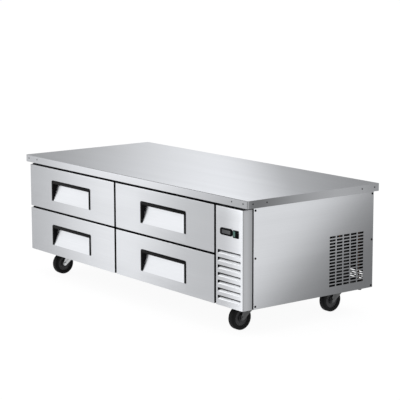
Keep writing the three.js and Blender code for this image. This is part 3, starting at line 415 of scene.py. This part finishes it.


# Worktop
# One stainless sheet, 2 mm thick, folded down on all four sides and back under. Its corners are
# rounded, with a dark seam beside the front flange, and flush screws hold it to the cabinet. Its top
# and flanges carry painted reflections, the fold along the front edge is painted dark as painted
# shade, and the side half of each corner is a painted highlight.
sheet_thickness = 0.002
skin_inset = 0.0003
corner_radius = 0.006
corner_steps = 5
edge_radius = 0.0015
lip_width = 0.06
flange_screw_spots = (0.031, 0.110)
flange_screw_drop = 0.016
flange_screw_radius = 0.0042
top_fall = (0.591, 0.806, 0)
# The top and flange shades are painted reflections.
top_painted_reflection = (
    (-0.85, 0.65), (-0.70, 0.66), (-0.50, 0.735), (-0.25, 0.83), (0.05, 0.915), (0.25, 0.90),
    (0.45, 0.69), (0.80, 0.58),
)
front_flange_painted_reflection = (
    (-0.92, 0.75), (-0.72, 0.78), (-0.50, 0.855), (-0.20, 0.90), (0.20, 0.915), (0.50, 0.825),
    (0.92, 0.665),
)
side_flange_painted_reflection = (
    (-0.395, 0.56), (-0.37, 0.42), (-0.28, 0.465), (-0.10, 0.60), (0.12, 0.685), (0.30, 0.62),
    (0.395, 0.58),
)
# The rounded fold along the front edge is painted dark, darkest on the right: painted shade.
front_fold_painted_shade = ((-0.92, 0.70), (-0.50, 0.55), (-0.20, 0.25), (0.92, 0.10))
# The side half of each rounded corner is a painted highlight.
corner_painted_highlight = 0.84
seam_shade = 0.42
top_face, front_face, side_face, fold_face, corner_face, seam_face = range(6)
nearly_straight = 0.9
corner_turn = 0.2
front_turn = 0.7
seam_turn = 0.8
flange_screw_steel = finish("ground_screw_heads", colours=((0.012, 0.012, 0.013), (0.035, 0.035, 0.037)),
                            roughness=(0.35, 0.5), grain=(400, 400, 400), metallic=1)


def block(bm, low, high):
    """A box between two corners."""
    size = Vector(high) - Vector(low)
    place = Matrix.Translation((Vector(high) + Vector(low)) / 2)
    return bmesh.ops.create_cube(bm, size=1, matrix=place @ Matrix.Diagonal((*size, 1)))["verts"]


def sharp_edges(bm, angle=30):
    """The edges where two faces meet at more than the angle."""
    return [e for e in bm.edges if e.is_manifold and e.calc_face_angle(0) > math.radians(angle)]


def rounded(bm, edges, radius, segments=3):
    """Rounds edges over."""
    bmesh.ops.bevel(bm, geom=edges, offset=radius, offset_type="OFFSET", affect="EDGES",
                    segments=segments, profile=0.5, material=-1, clamp_overlap=True)


low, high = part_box("worktop")
bm = bmesh.new()
inset = Vector((skin_inset, skin_inset, 0))
block(bm, low + inset, high - inset)
uprights = [e for e in bm.edges if abs((e.verts[0].co - e.verts[1].co).normalized().z) > nearly_straight]
rounded(bm, uprights, corner_radius, corner_steps)
rounded(bm, sharp_edges(bm), edge_radius)
# The underside is open within the turned-in lip.
under = min(bm.faces, key=lambda f: f.calc_center_median().z)
bmesh.ops.inset_region(bm, faces=[under], thickness=lip_width)
bmesh.ops.delete(bm, geom=[under], context="FACES_ONLY")
for face in bm.faces:
    face.normal_update()
    if abs(face.normal.z) > nearly_straight:
        face.material_index = top_face
    elif face.normal.y < -corner_turn and face.normal.z > corner_turn:
        face.material_index = fold_face
    elif min(abs(face.normal.x), abs(face.normal.y)) > corner_turn:
        face.material_index = corner_face if abs(face.normal.x) > seam_turn else seam_face
    else:
        face.material_index = front_face if abs(face.normal.y) > front_turn else side_face
worktop = put(bm, "folded_worktop", "cabinet", [
    brushed_steel("worktop_steel", top_fall, top_painted_reflection),
    brushed_steel("front_flange_steel", X, front_flange_painted_reflection),
    brushed_steel("side_flange_steel", Y, side_flange_painted_reflection, brushed="Y"),
    brushed_steel("front_fold_steel", X, front_fold_painted_shade),
    brushed_steel("painted_highlight_corner_steel", Z, ((low.z, corner_painted_highlight), (high.z, corner_painted_highlight))),
    brushed_steel("corner_seam_steel", Z, ((low.z, seam_shade), (high.z, seam_shade))),
], ["worktop"])
wall = worktop.modifiers.new("sheet", "SOLIDIFY")
wall.thickness = sheet_thickness
wall.offset = -1
wall.use_even_offset = True
flange_z = high.z - flange_screw_drop
for label, facing, face, ends in (
    ("front", -Y, low.y, (low.x, high.x)), ("rear", Y, high.y, (low.x, high.x)),
    ("left", -X, low.x, (low.y, high.y)), ("right", X, high.x, (low.y, high.y)),
):
    places = []
    for spot in flange_screw_spots:
        for along in (ends[0] + spot, ends[1] - spot):
            flat = (along, face) if abs(facing.y) else (face, along)
            places.append(Vector((*flat, flange_z)) - facing * skin_inset)
    screws(label + "_flange_screws", flange_screw_steel, places, facing, flange_screw_radius, skin_inset)


# Control panel
# Brushed stainless sheet folded back on all sides, with seven louvres pressed in below the
# controls. It is screwed over the front of the machine compartment. Its face and returns carry
# painted reflections with a painted highlight by the right corner, the louvre blades have a painted
# shade of their own, and the inner faces are painted near black as painted shade.
# The face and returns carry painted reflections, with a painted highlight by the right corner and a
# painted dark line at the front of the return.
panel_painted_reflection = ((0.690, 0.795), (0.755, 0.795), (0.800, 0.855), (0.850, 0.93), (0.8815, 0.98))
return_painted_reflection = ((-0.392, 0.52), (-0.386, 0.72), (-0.368, 0.72), (-0.350, 0.66), (-0.337, 0.60))
# The louvre blades are the same steel, painted a darker shade of their own: painted shade.
louvre_painted_shade = ((0.690, 0.74), (0.8815, 0.75))
louvre_lift = 0.0038
louvre_margin = 0.010
bend_radius = 0.0004
return_depth = 0.001
return_turn = 0.75
flat_turn = 0.5
louvre_turn = 0.1
panel_face, return_face, louvre_face, inner_face = range(4)
weld_distance = 0.00002
same_plane_angle = 1
# The panel's inner faces are painted near black: painted shade for the dark compartment behind the
# louvres.
inner_painted_shade = finish("painted_shade_inner_side", colours=((0.012, 0.012, 0.013), (0.022, 0.022, 0.023)),
                    roughness=(0.6, 0.75), grain=(200, 200, 200), mirror=0.1)


def cad_copy(name):
    """A bmesh of a CAD node with its loose triangles merged into whole faces."""
    bm = bmesh.new()
    bm.from_mesh(cad[name].data)
    bmesh.ops.remove_doubles(bm, verts=bm.verts, dist=weld_distance)
    bmesh.ops.dissolve_limit(bm, angle_limit=math.radians(same_plane_angle), verts=bm.verts,
                             edges=bm.edges)
    for face in bm.faces:
        face.material_index = 0
    return bm


bm = cad_copy("control_panel")
low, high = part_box("control_panel")
# The pressed louvres, all that lies below the controls, stand a little higher than the CAD's.
below_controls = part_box("controller")[0].z - louvre_margin
for vert in bm.verts:
    if low.x + louvre_margin < vert.co.x < high.x - louvre_margin and vert.co.z < below_controls:
        vert.co.z += louvre_lift
rounded(bm, sharp_edges(bm), bend_radius, segments=2)
# Inner faces get painted shade, and the louvre blades get their own painted shade.
for face in bm.faces:
    face.normal_update()
    between_ends = low.x + return_depth < face.calc_center_median().x < high.x - return_depth
    if between_ends and (abs(face.normal.x) > return_turn or face.normal.y > flat_turn):
        face.material_index = inner_face
    elif abs(face.normal.x) > return_turn:
        face.material_index = return_face
    elif face.normal.y < -flat_turn and face.normal.z > louvre_turn:
        face.material_index = louvre_face
    else:
        face.material_index = panel_face
put(bm, "louvred_panel", "cabinet", [
    brushed_steel("panel_steel", X, panel_painted_reflection),
    brushed_steel("panel_return_steel", Y, return_painted_reflection, brushed="Z"),
    brushed_steel("louvre_steel", X, louvre_painted_shade),
    inner_painted_shade,
], ["control_panel"])


# Controller and power switch
# A snap-in thermostat of black plastic with a dark window, and beside it a rocker switch: its left
# part is a green lens, and the rest is black like its housing.
window_depth = 0.001
thermostat_edge = 0.0006
surround_edge = 0.0005
rocker_edge = 0.0006
rocker_crease = 15
lens_share = 0.38
same_place = 0.0001
window_glass = finish("display_window", colours=((0.07, 0.072, 0.078), (0.11, 0.113, 0.12)),
                      roughness=(0.12, 0.2), grain=(90, 90, 90), coat=0.25, mirror=0.3)
green_lens = finish("green_lens", colours=((0.06, 0.20, 0.155), (0.10, 0.29, 0.235)),
                    roughness=(0.15, 0.25), grain=(500, 500, 500), coat=0.3)
rocker_black = finish("rocker_black", colours=((0.001, 0.001, 0.0012), (0.002, 0.002, 0.0024)),
                      roughness=(0.35, 0.45), grain=(900, 900, 900), relief=0.00004, mirror=0.04)
bm = cad_copy("controller")
rounded(bm, sharp_edges(bm), thermostat_edge)
window_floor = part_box("controller")[0].y + window_depth
for face in bm.faces:
    on_window = abs(face.calc_center_median().y - window_floor) < same_place
    face.material_index = int(on_window and face.normal.y < -nearly_straight)
put(bm, "thermostat", "cabinet", [rocker_black, window_glass], ["controller"])
low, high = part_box("switch_rocker")
bm = cad_copy("switch_housing")
rounded(bm, sharp_edges(bm), surround_edge, segments=2)
for face in bm.faces:
    face.material_index = int(face.calc_center_median().x < low.x)
put(bm, "switch_surround", "cabinet", [rocker_black, green_lens], ["switch_housing"])
bm = cad_copy("switch_rocker")
rounded(bm, sharp_edges(bm, rocker_crease), rocker_edge)
lens_end = low.x + lens_share * (high.x - low.x)
bmesh.ops.bisect_plane(bm, geom=[*bm.faces, *bm.edges, *bm.verts], plane_co=X * lens_end, plane_no=X)
for face in bm.faces:
    face.material_index = int(face.calc_center_median().x > lens_end)
put(bm, "rocker_cap", "rocker", [green_lens, rocker_black], ["switch_rocker"])


# Machine compartment
# The hermetic compressor is a welded pot in black enamel on a footed plate. Tarnished copper pipes
# join it to a finned condenser, which a fan in a sheet shroud draws the air through.
pot_edge = 0.001
shroud_edge = 0.0003
blade_edge = 0.0006
fin_thickness = 0.00024
tube_radius = 0.0045
tube_sides = 12
pipe_radius = 0.004
pipe_bend = 0.012
pipe_sides = 12
bend_steps = 5
port_spacing = 0.06
port_depth = 0.002
drier_radius = 0.010
drier_start = (0.763, 0.356, 0.215)
drier_length = 0.08
liquid_start = (0.703, -0.174, 0.160)
suction_legs = ((Z, 0.06), (Y, 0.128), (Z, 0.08), (-X, 0.064))
discharge_legs = ((Z, 0.03), (Y, 0.125), (-Z, 0.25), (X, 0.055), (-Y, 0.54))
liquid_legs = ((Y, 0.530), (Z, 0.028), (X, 0.060), (Z, 0.27), (-X, 0.071))
enamel = finish("black_enamel", colours=((0.006, 0.006, 0.0065), (0.012, 0.012, 0.013)),
                roughness=(0.28, 0.4), grain=(120, 120, 120), relief=0.0001, mirror=0.3)
copper = finish("copper_pipe", colours=((0.17, 0.09, 0.058), (0.27, 0.145, 0.092)),
                roughness=(0.3, 0.42), grain=(60, 60, 60), metallic=1)
fins = finish("aluminium_fins", colours=((0.50, 0.51, 0.52), (0.66, 0.67, 0.68)),
              roughness=(0.3, 0.45), grain=(30, 400, 400), metallic=1)
fan_plastic = finish("fan_plastic", colours=((0.014, 0.014, 0.015), (0.026, 0.026, 0.028)),
                     roughness=(0.35, 0.5), grain=(500, 500, 500), relief=0.00005)
round_sided = {"angle": 50, "smooth_under": 50}


def softened(name, piece, body, slot, material, radius, segments=2, angle=30, smooth_under=35):
    """A copy of a CAD node with its edges rounded over, which then stands for it. On a round-sided
    one the facets stay, and only sharper turns are edges."""
    bm = cad_copy(name)
    rounded(bm, sharp_edges(bm, angle), radius, segments)
    return put(bm, piece, body, [material], [name], smooth_under)


def finned_coil(name, piece, fin_pitch, end_plate, core_reach, rows):
    """A coil of aluminium fins pressed on copper tubes that run between two end plates."""
    low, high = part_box(name)
    bm = bmesh.new()
    count = int((high.x - low.x - 2 * end_plate) / fin_pitch)
    pitch = (high.x - low.x - 2 * end_plate) / count
    for i in range(count):
        x = low.x + end_plate + (i + 0.5) * pitch
        block(bm, (x - fin_thickness / 2, low.y + core_reach, low.z + core_reach),
              (x + fin_thickness / 2, high.y, high.z - core_reach))
    for x in (low.x, high.x - end_plate):
        block(bm, (x, low.y, low.z), (x + end_plate, high.y, high.z))
    for row in range(rows):
        z = low.z + (row + 0.5) * (high.z - low.z) / rows
        middle = ((low.x + high.x) / 2, (low.y + core_reach + high.y) / 2, z)
        turn = Matrix.Translation(middle) @ Matrix.Rotation(math.pi / 2, 4, "Y")
        tube = bmesh.ops.create_cone(bm, cap_ends=True, segments=tube_sides, radius1=tube_radius,
                                     radius2=tube_radius, depth=high.x - low.x, matrix=turn)
        for face in {f for v in tube["verts"] for f in v.link_faces}:
            face.material_index = 1
    put(bm, piece, "cabinet", [fins, copper], [name])


def pipe(bm, radius, start, legs):
    """A round pipe that runs along its legs in turn, each a direction and a length, with a bend
    between two legs and a cap at both ends."""
    turn = Matrix.Translation(start) @ legs[0][0].to_track_quat("Z", "Y").to_matrix().to_4x4()
    ring = bmesh.ops.create_circle(bm, cap_ends=False, segments=pipe_sides, radius=radius, matrix=turn)
    front = list({edge for vert in ring["verts"] for edge in vert.link_edges})
    bmesh.ops.contextual_create(bm, geom=front)
    place = Vector(start)
    for i, (direction, length) in enumerate(legs):
        step = direction * (length - pipe_bend * ((i > 0) + (i < len(legs) - 1)))
        grown = bmesh.ops.extrude_edge_only(bm, edges=front)["geom"]
        bmesh.ops.translate(bm, verts=[g for g in grown if isinstance(g, bmesh.types.BMVert)], vec=step)
        place += step
        front = [
            g for g in grown if isinstance(g, bmesh.types.BMEdge)
            and all(abs((v.co - place).dot(direction)) < same_place for v in g.verts)
        ]
        if i < len(legs) - 1:
            onward = legs[i + 1][0]
            curve = bmesh.ops.spin(bm, geom=front + list({v for e in front for v in e.verts}),
                                   cent=place + onward * pipe_bend, axis=direction.cross(onward),
                                   angle=math.pi / 2, steps=bend_steps)
            front = [g for g in curve["geom_last"] if isinstance(g, bmesh.types.BMEdge)]
            place += (direction + onward) * pipe_bend
    bmesh.ops.contextual_create(bm, geom=front)


softened("compressor", "compressor_pot", "cabinet", "black_paint", enamel, pot_edge, **round_sided)
softened("condenser_fan_shroud", "condenser_shroud", "cabinet", "black_paint", enamel, shroud_edge,
         **round_sided)
softened("condenser_fan", "condenser_fan_blades", "condenser_rotor", "black_plastic", fan_plastic,
         blade_edge, **round_sided)
finned_coil("condenser_coil", "condenser_fins", fin_pitch=0.0032, end_plate=0.003, core_reach=0.005,
            rows=9)
low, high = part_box("compressor")
suction_port = Vector(((low.x + high.x - port_spacing) / 2, (low.y + high.y) / 2, high.z - port_depth))
bm = bmesh.new()
pipe(bm, pipe_radius, suction_port, suction_legs)
pipe(bm, pipe_radius, suction_port + X * port_spacing, discharge_legs)
pipe(bm, pipe_radius, liquid_start, liquid_legs)
pipe(bm, drier_radius, drier_start, ((Z, drier_length),))
bmesh.ops.recalc_face_normals(bm, faces=bm.faces)
put(bm, "refrigerant_lines", "cabinet", [copper])


# Evaporator
# A smaller finned coil on the cold store's rear wall, in a stainless housing with its own fan.
# It hangs under the ceiling of the right bay.
cover_edge = 0.0003
small_blade_edge = 0.0005
finned_coil("evaporator_coil", "evaporator_fins", fin_pitch=0.0042, end_plate=0.0012, core_reach=0.0,
            rows=5)
softened("evaporator_housing", "evaporator_cover", "cabinet", "inner_stainless", plain_steel, cover_edge,
         **round_sided)
softened("evaporator_fan", "evaporator_fan_blades", "evaporator_rotor", "black_plastic", fan_plastic,
         small_blade_edge, **round_sided)


# Drawer racks and slides
# Each bay holds a cage welded from zinc-plated uprights and ties, with the fixed channels of the
# telescopic slides. A middle channel runs in each fixed one and carries the drawer's bar.
for side in ("left", "right"):
    dress(side + "_drawer_rack", plated)


# Drawers
# A front is a stainless face on a foamed black surround with a low lip along its top. The pull's
# pocket is pressed into the face and lined by a moulded bezel. A magnetic gasket runs round the
# back, and the pans hang in the carriage.
drawer_front_depth = 0.05
plug_side = 0.041
plug_end = 0.031
plug_depth = 0.012
plug_start = 0.003
pull_bottom = 0.052
pull_top = 0.154
pull_half_width = 0.174
pocket_depth = 0.030
ramp_height = 0.096
front_edge_radius = 0.0015
front_crease = 20
lip_inset = 0.002
lip_setback = 0.012
lip_rise = 0.0045
lip_seat = 0.001
bezel_corner_radius = 0.010
bezel_corner_steps = 6
bezel_edge = 0.0005
gasket_edge = 0.0015
carriage_edge = 0.0006
# The fronts' shades are painted reflections, and the scoop is painted lighter than the face it is
# pressed in: a painted highlight.
drawer_front_painted_reflection = (
    (-0.88, 0.75), (-0.70, 0.755), (-0.48, 0.84), (-0.20, 0.905), (0.08, 0.905), (0.30, 0.835),
    (0.50, 0.77), (0.69, 0.755),
)
scoop_painted_highlight = ((-0.70, 0.935), (0.50, 0.94))
skin_face, scoop_face, surround_face, plug_face = range(4)
upright_turn = 0.999
skin_turn = 0.2
front_steel = brushed_steel("drawer_front_steel", X, drawer_front_painted_reflection)
scoop_steel = brushed_steel("scoop_steel", X, scoop_painted_highlight)
gasket_vinyl = finish("gasket_vinyl", colours=((0.02, 0.02, 0.021), (0.035, 0.035, 0.037)),
                      roughness=(0.5, 0.65), grain=(300, 300, 300), relief=0.0001)


def rectangle(bm, face, x_range, z_range):
    """Cuts a rectangle out of an upright face and returns its face."""
    middle = Vector((sum(x_range) / 2, face.calc_center_median().y, sum(z_range) / 2))
    for direction, place in ((X, x_range[0]), (X, x_range[1]), (Z, z_range[0]), (Z, z_range[1])):
        split = bmesh.ops.bisect_plane(bm, geom=[face, *face.edges, *face.verts],
                                       plane_co=direction * place, plane_no=direction)
        halves = [g for g in split["geom"] if isinstance(g, bmesh.types.BMFace)]
        face = min(halves, key=lambda f: (f.calc_center_median() - middle).length)
    return face


def drawer_skin(drawer):
    """The drawer front: a slab with the pull's pocket in its face, the raised plug behind, and the
    lip on top."""
    low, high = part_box(drawer + "_drawer_front")
    middle = (low.x + high.x) / 2
    back = low.y + drawer_front_depth
    bm = bmesh.new()
    block(bm, low, (high.x, back, high.z))
    front = min(bm.faces, key=lambda f: f.calc_center_median().y)
    pocket = rectangle(bm, front, (middle - pull_half_width, middle + pull_half_width),
                       (low.z + pull_bottom, low.z + pull_top))
    bmesh.ops.inset_individual(bm, faces=[pocket], thickness=0, depth=-pocket_depth)
    # The lower rear edge of the pocket rises, and its floor slopes up as the scoop.
    for corner in pocket.verts:
        if corner.co.z < low.z + (pull_bottom + pull_top) / 2:
            corner.co.z += ramp_height
    rear = max(bm.faces, key=lambda f: f.calc_center_median().y)
    plug = rectangle(bm, rear, (low.x + plug_side, high.x - plug_side),
                     (low.z + plug_end, high.z - plug_end))
    bmesh.ops.inset_individual(bm, faces=[plug], thickness=0, depth=plug_depth)
    block(bm, (low.x + lip_inset, low.y + lip_setback, high.z - lip_seat),
          (high.x - lip_inset, back - lip_seat, high.z + lip_rise))
    bmesh.ops.recalc_face_normals(bm, faces=bm.faces)
    rounded(bm, sharp_edges(bm, front_crease), front_edge_radius)
    pull_low = low.z + pull_bottom - front_edge_radius
    pull_high = low.z + pull_top + front_edge_radius
    for face in bm.faces:
        face.normal_update()
        spot = face.calc_center_median()
        beside = abs(spot.x - middle) < pull_half_width + front_edge_radius
        in_pocket = beside and pull_low < spot.z < pull_high and spot.y < low.y + pocket_depth
        if in_pocket and face.normal.y > -upright_turn:
            face.material_index = scoop_face
        elif face.normal.y < -skin_turn and spot.z < high.z:
            face.material_index = skin_face
        else:
            face.material_index = plug_face if spot.y > back + plug_start else surround_face
    put(bm, drawer + "_front_skin", drawer + "_drawer",
        [front_steel, scoop_steel, black_moulding, plain_steel], [drawer + "_drawer_front"])


def pull_bezel(drawer):
    """The moulded frame of the pull, with its two upper corners rounded."""
    low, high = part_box(drawer + "_pull_bezel")
    bm = cad_copy(drawer + "_pull_bezel")
    top_edges = [e for e in bm.edges if all(abs(v.co.z - high.z) < same_place for v in e.verts)]
    corners = [
        e for e in top_edges
        if any(all(abs(v.co.x - end) < same_place for v in e.verts) for end in (low.x, high.x))
    ]
    rounded(bm, corners, bezel_corner_radius, bezel_corner_steps)
    rounded(bm, sharp_edges(bm), bezel_edge, segments=2)
    put(bm, drawer + "_pull_frame", drawer + "_drawer", [black_moulding],
        [drawer + "_pull_bezel"])


for drawer in ("left_upper", "left_lower", "right_upper", "right_lower"):
    drawer_skin(drawer)
    pull_bezel(drawer)
    softened(drawer + "_gasket", drawer + "_seal", drawer + "_drawer", "gasket", gasket_vinyl,
             gasket_edge, segments=3)
    softened(drawer + "_carriage", drawer + "_pan_frame", drawer + "_drawer", "inner_stainless",
             plain_steel, carriage_edge)
    for side in "lr":
        dress(drawer + "_middle_slide_" + side, plated)


# Casters
# A plate bolted under the pan carries a ball race, and the pressed fork swivels on it. The wheel
# turns on the axle bolt, and the front pair have a brake pedal on a pin through the fork.
tyre_width = 0.032
hub_width = 0.034
hub_radius = 0.017
rim_radius = 0.037
bore_radius = 0.0053
web_depth = 0.005
web_slope = 0.001
rim_drop = 0.0008
tyre_bead = 0.002
tyre_seam = 0.0004
tread_round = 0.0055
tread_steps = 6
wheel_steps = 64
closing_distance = 0.00001
plate_bolt_x = 0.041
plate_bolt_y = 0.036
plate_bolt_radius = 0.0055
plate_bolt_proud = 0.0025
pressed_edge = 0.0006
pedal_edge = 0.001
rubber = finish("black_rubber", colours=((0.003, 0.003, 0.0035), (0.008, 0.008, 0.0085)),
                roughness=(0.55, 0.75), grain=(250, 250, 250), relief=0.0002, mirror=0.15)
hub_grey = finish("hub_plastic", colours=((0.022, 0.022, 0.024), (0.036, 0.036, 0.039)),
                  roughness=(0.4, 0.5), grain=(500, 500, 500), relief=0.00005, mirror=0.4)
bright_zinc = finish("bright_zinc", colours=((0.50, 0.51, 0.52), (0.70, 0.71, 0.72)),
                     roughness=(0.2, 0.34), grain=(45, 45, 45), metallic=1)
# This darker zinc is painted shade on three of the forks.
painted_shade_zinc = finish("painted_shade_zinc", colours=((0.05, 0.051, 0.052), (0.13, 0.131, 0.133)),
                   roughness=(0.3, 0.45), grain=(60, 60, 60), metallic=1)


def caster_wheel(corner):
    """A spun section: hub, web and rim, then the tyre with its rounded tread."""
    low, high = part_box(corner + "_caster_wheel")
    radius = (high.z - low.z) / 2
    web_x = tyre_width / 2 - web_depth
    rim_x = tyre_width / 2 - rim_drop
    half = [
        (bore_radius, hub_width / 2), (hub_radius, hub_width / 2), (hub_radius + web_slope, web_x),
        (rim_radius - web_slope, web_x), (rim_radius, rim_x), (rim_radius + tyre_bead / 2, rim_x),
        (rim_radius + tyre_bead, tyre_width / 2), (radius - tread_round, tyre_width / 2),
    ]
    for step in range(1, tread_steps):
        angle = step * math.pi / (2 * tread_steps)
        half.append((radius - tread_round + tread_round * math.sin(angle),
                     tyre_width / 2 - tread_round * (1 - math.cos(angle))))
    half.append((radius, 0))
    bm = bmesh.new()
    section = half + [(r, -x) for r, x in reversed(half[:-1])]
    ring = [bm.verts.new((x, 0, r)) for r, x in section]
    edges = [bm.edges.new((a, b)) for a, b in zip(ring, ring[1:] + ring[:1])]
    bmesh.ops.spin(bm, geom=ring + edges, cent=(0, 0, 0), axis=X, angle=2 * math.pi, steps=wheel_steps,
                   use_merge=True)
    bmesh.ops.remove_doubles(bm, verts=bm.verts, dist=closing_distance)
    bmesh.ops.recalc_face_normals(bm, faces=bm.faces)
    for face in bm.faces:
        spot = face.calc_center_median()
        face.material_index = int(math.hypot(spot.y, spot.z) < rim_radius + tyre_seam)
    bmesh.ops.translate(bm, verts=bm.verts, vec=(low + high) / 2)
    put(bm, corner + "_wheel_and_tyre", corner + "_wheel", [rubber, hub_grey],
        [corner + "_caster_wheel"], smooth_under=40)


for corner in ("front_left", "front_right", "rear_left", "rear_right"):
    caster_wheel(corner)
    low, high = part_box(corner + "_caster_plate")
    middle = (low + high) / 2
    bolt_spots = [
        (middle.x + i * plate_bolt_x, middle.y + j * plate_bolt_y, low.z)
        for i in (-1, 1)
        for j in (-1, 1)
    ]
    screws(corner + "_plate_bolts", plated, bolt_spots, -Z, plate_bolt_radius, plate_bolt_proud)
    softened(corner + "_caster_plate", corner + "_top_plate", "cabinet", "zinc", bright_zinc,
             pressed_edge, **round_sided)
    # The forks are all the same zinc: the front left one keeps its colour, and the other three are
    # painted darker as painted shade.
    softened(corner + "_caster_fork", corner + "_swivel_fork", corner + "_fork", "zinc",
             bright_zinc if corner == "front_left" else painted_shade_zinc, pressed_edge, **round_sided)
for corner in ("front_left", "front_right"):
    softened(corner + "_brake_pedal", corner + "_pedal_lever", corner + "_pedal", "black_paint", enamel,
             pedal_edge)
